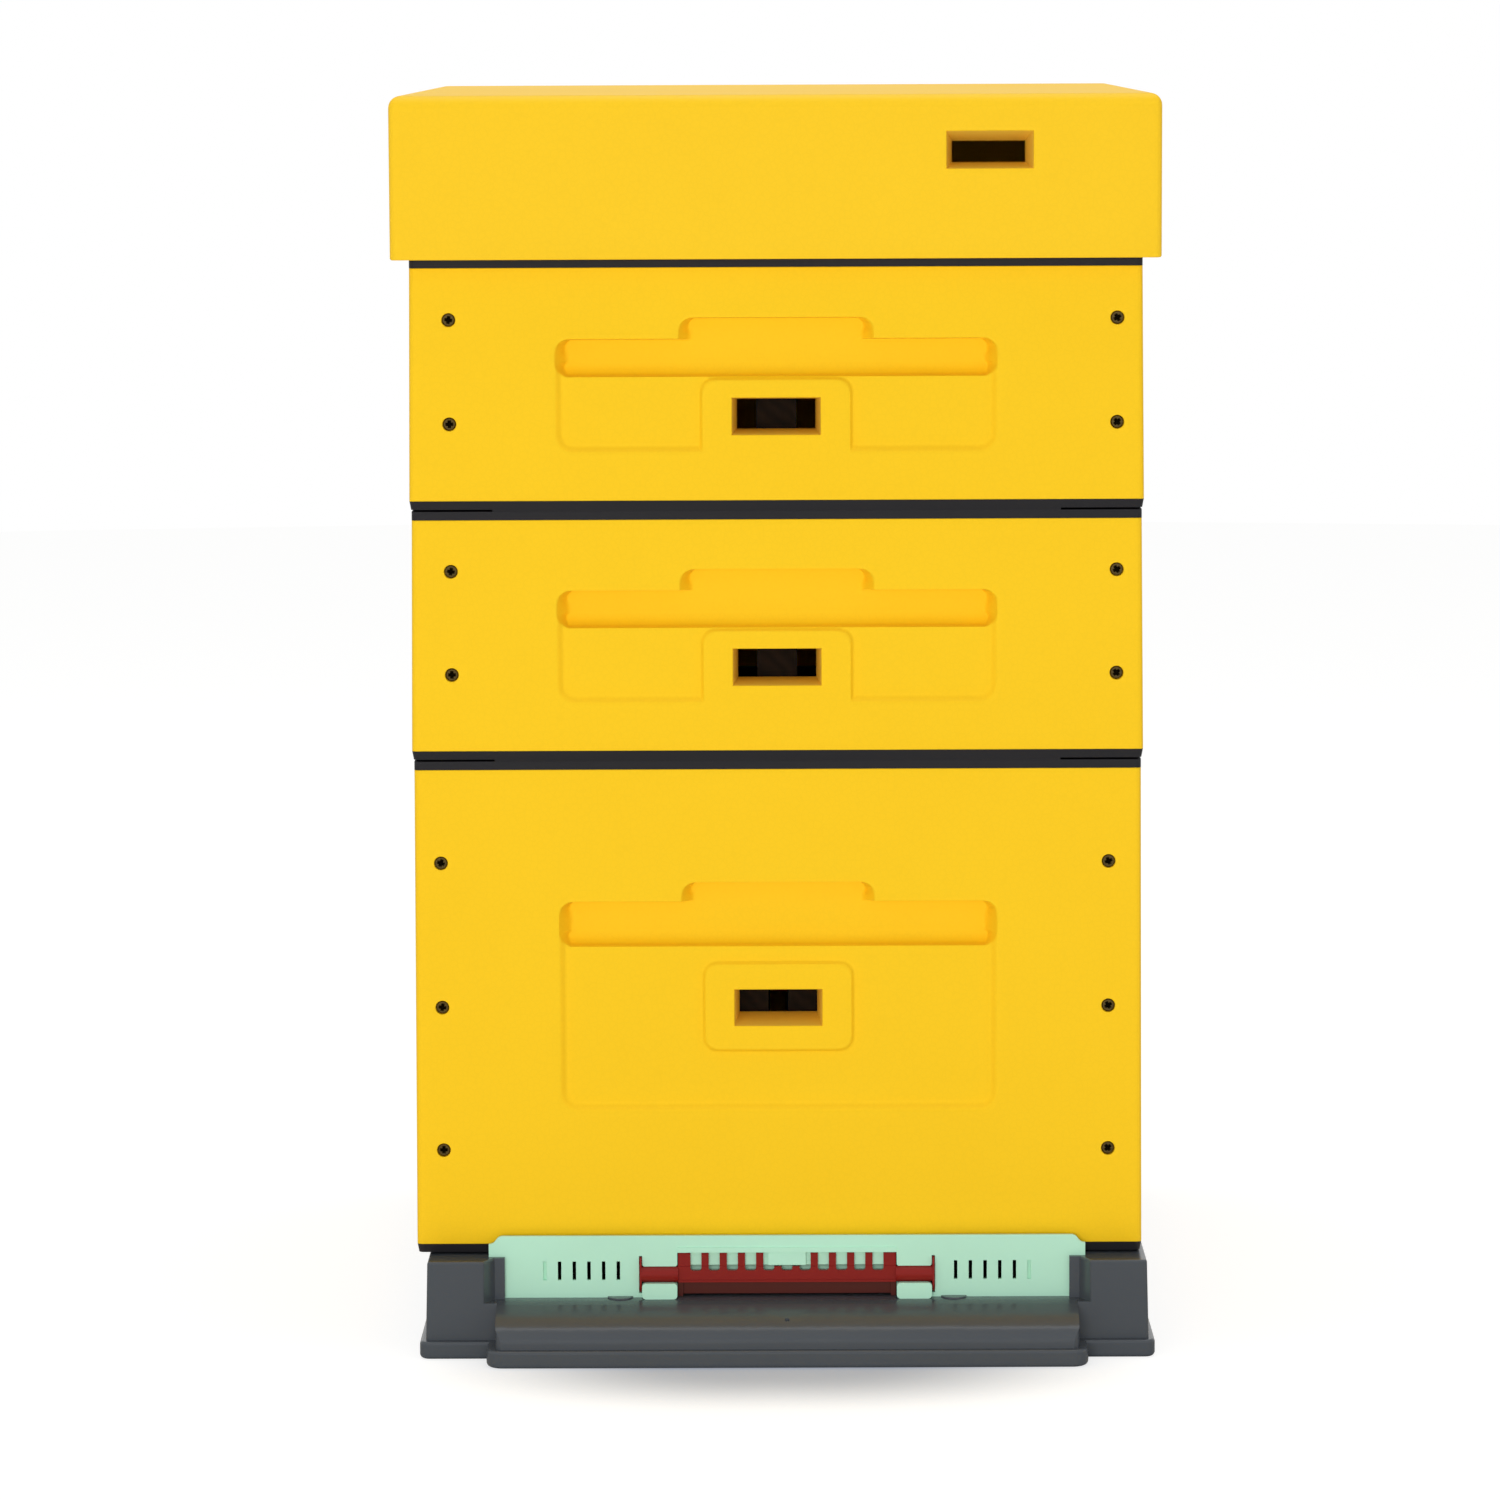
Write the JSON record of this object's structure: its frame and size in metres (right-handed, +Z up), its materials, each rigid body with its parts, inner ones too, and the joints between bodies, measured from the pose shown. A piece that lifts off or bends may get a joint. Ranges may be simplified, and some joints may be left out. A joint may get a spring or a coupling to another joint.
{
  "type": "polystyrene dadant beehive",
  "caption": "Stacked beehive of yellow polystyrene: floor with landing board and entrance reducer, brood box, supers with hanging frames, crown board and vented roof.",
  "frame": {"origin": "on the ground, below the middle of the bounding box", "axes": "+Z up; -Y towards the front with the entrance and landing board; +X to the right as seen from the front"},
  "size_m": [0.472, 0.597, 0.78],
  "materials": {
    "polystyrene_yellow": "painted expanded polystyrene",
    "rim_black_plastic": "satin",
    "screw_bronze": "yellow-passivated steel",
    "floor_grey_plastic": "semi-gloss",
    "mesh_black_plastic": "moulded grid",
    "tray_white_plastic": "satin",
    "reducer_mint_plastic": "satin",
    "guard_red_plastic": "satin",
    "frame_wood": "planed, darkened by use",
    "beeswax": "embossed wax",
    "crown_plywood": "bare plywood",
    "plug_grey_plastic": "satin"
  },
  "bodies": {
    "floor": {"floor_moulding": "floor_grey_plastic", "floor_mesh": "mesh_black_plastic"},
    "inspection_tray": {"inspection_tray": "tray_white_plastic"},
    "entrance_reducer": {"entrance_reducer": "reducer_mint_plastic"},
    "mouse_guard": {"mouse_guard": "guard_red_plastic"},
    "entrance_shutter": {"entrance_shutter": "guard_red_plastic"},
    "brood_box": {"brood_front_panel": "polystyrene_yellow", "brood_rear_panel": "polystyrene_yellow", "brood_left_panel": "polystyrene_yellow", "brood_right_panel": "polystyrene_yellow", "brood_top_rim": "rim_black_plastic", "brood_bottom_rim": "rim_black_plastic", "brood_screws": "screw_bronze"},
    "brood_frames": {"brood_frame_top_bars": "frame_wood", "brood_frame_end_bars": "frame_wood", "brood_frame_bottom_bars": "frame_wood", "brood_foundation": "beeswax"},
    "lower_super": {"lower_super_front_panel": "polystyrene_yellow", "lower_super_rear_panel": "polystyrene_yellow", "lower_super_left_panel": "polystyrene_yellow", "lower_super_right_panel": "polystyrene_yellow", "lower_super_top_rim": "rim_black_plastic", "lower_super_bottom_rim": "rim_black_plastic", "lower_super_screws": "screw_bronze"},
    "lower_super_frames": {"lower_super_frame_top_bars": "frame_wood", "lower_super_frame_end_bars": "frame_wood", "lower_super_frame_bottom_bars": "frame_wood", "lower_super_foundation": "beeswax"},
    "upper_super": {"upper_super_front_panel": "polystyrene_yellow", "upper_super_rear_panel": "polystyrene_yellow", "upper_super_left_panel": "polystyrene_yellow", "upper_super_right_panel": "polystyrene_yellow", "upper_super_top_rim": "rim_black_plastic", "upper_super_bottom_rim": "rim_black_plastic", "upper_super_screws": "screw_bronze"},
    "upper_super_frames": {"upper_super_frame_top_bars": "frame_wood", "upper_super_frame_end_bars": "frame_wood", "upper_super_frame_bottom_bars": "frame_wood", "upper_super_foundation": "beeswax"},
    "crown_board": {"crown_board": "crown_plywood"},
    "feed_plug": {"feed_plug": "plug_grey_plastic"},
    "roof": {"roof_shell": "polystyrene_yellow"}
  },
  "joints": [
    {"name": "brood_box_lift", "type": "slide", "parent": "floor", "child": "brood_box", "axis": [0, 0, 1], "range_m": [0, 0.08]},
    {"name": "brood_frames_lift", "type": "slide", "parent": "brood_box", "child": "brood_frames", "axis": [0, 0, 1], "range_m": [0, 0.33]},
    {"name": "lower_super_lift", "type": "slide", "parent": "brood_frames", "child": "lower_super", "axis": [0, 0, 1], "range_m": [0, 0.08]},
    {"name": "lower_super_frames_lift", "type": "slide", "parent": "lower_super", "child": "lower_super_frames", "axis": [0, 0, 1], "range_m": [0, 0.17]},
    {"name": "upper_super_lift", "type": "slide", "parent": "lower_super_frames", "child": "upper_super", "axis": [0, 0, 1], "range_m": [0, 0.08]},
    {"name": "upper_super_frames_lift", "type": "slide", "parent": "upper_super", "child": "upper_super_frames", "axis": [0, 0, 1], "range_m": [0, 0.17]},
    {"name": "crown_board_lift", "type": "slide", "parent": "upper_super_frames", "child": "crown_board", "axis": [0, 0, 1], "range_m": [0, 0.08]},
    {"name": "feed_plug_lift", "type": "slide", "parent": "crown_board", "child": "feed_plug", "axis": [0, 0, 1], "range_m": [0, 0.04]},
    {"name": "roof_lift", "type": "slide", "parent": "crown_board", "child": "roof", "axis": [0, 0, 1], "range_m": [0, 0.14]},
    {"name": "reducer_lift", "type": "slide", "parent": "floor", "child": "entrance_reducer", "axis": [0, 0, 1], "range_m": [0, 0.045]},
    {"name": "mouse_guard_turn", "type": "hinge", "parent": "entrance_reducer", "child": "mouse_guard", "pos_m": [0, -0.2455, 0.0485], "axis": [1, 0, 0], "range_deg": [0, 180]},
    {"name": "shutter_pull", "type": "slide", "parent": "entrance_reducer", "child": "entrance_shutter", "axis": [0, -1, 0], "range_m": [0, 0.025]},
    {"name": "tray_slide", "type": "slide", "parent": "floor", "child": "inspection_tray", "axis": [0, 1, 0], "range_m": [0, 0.45]}
  ]
}
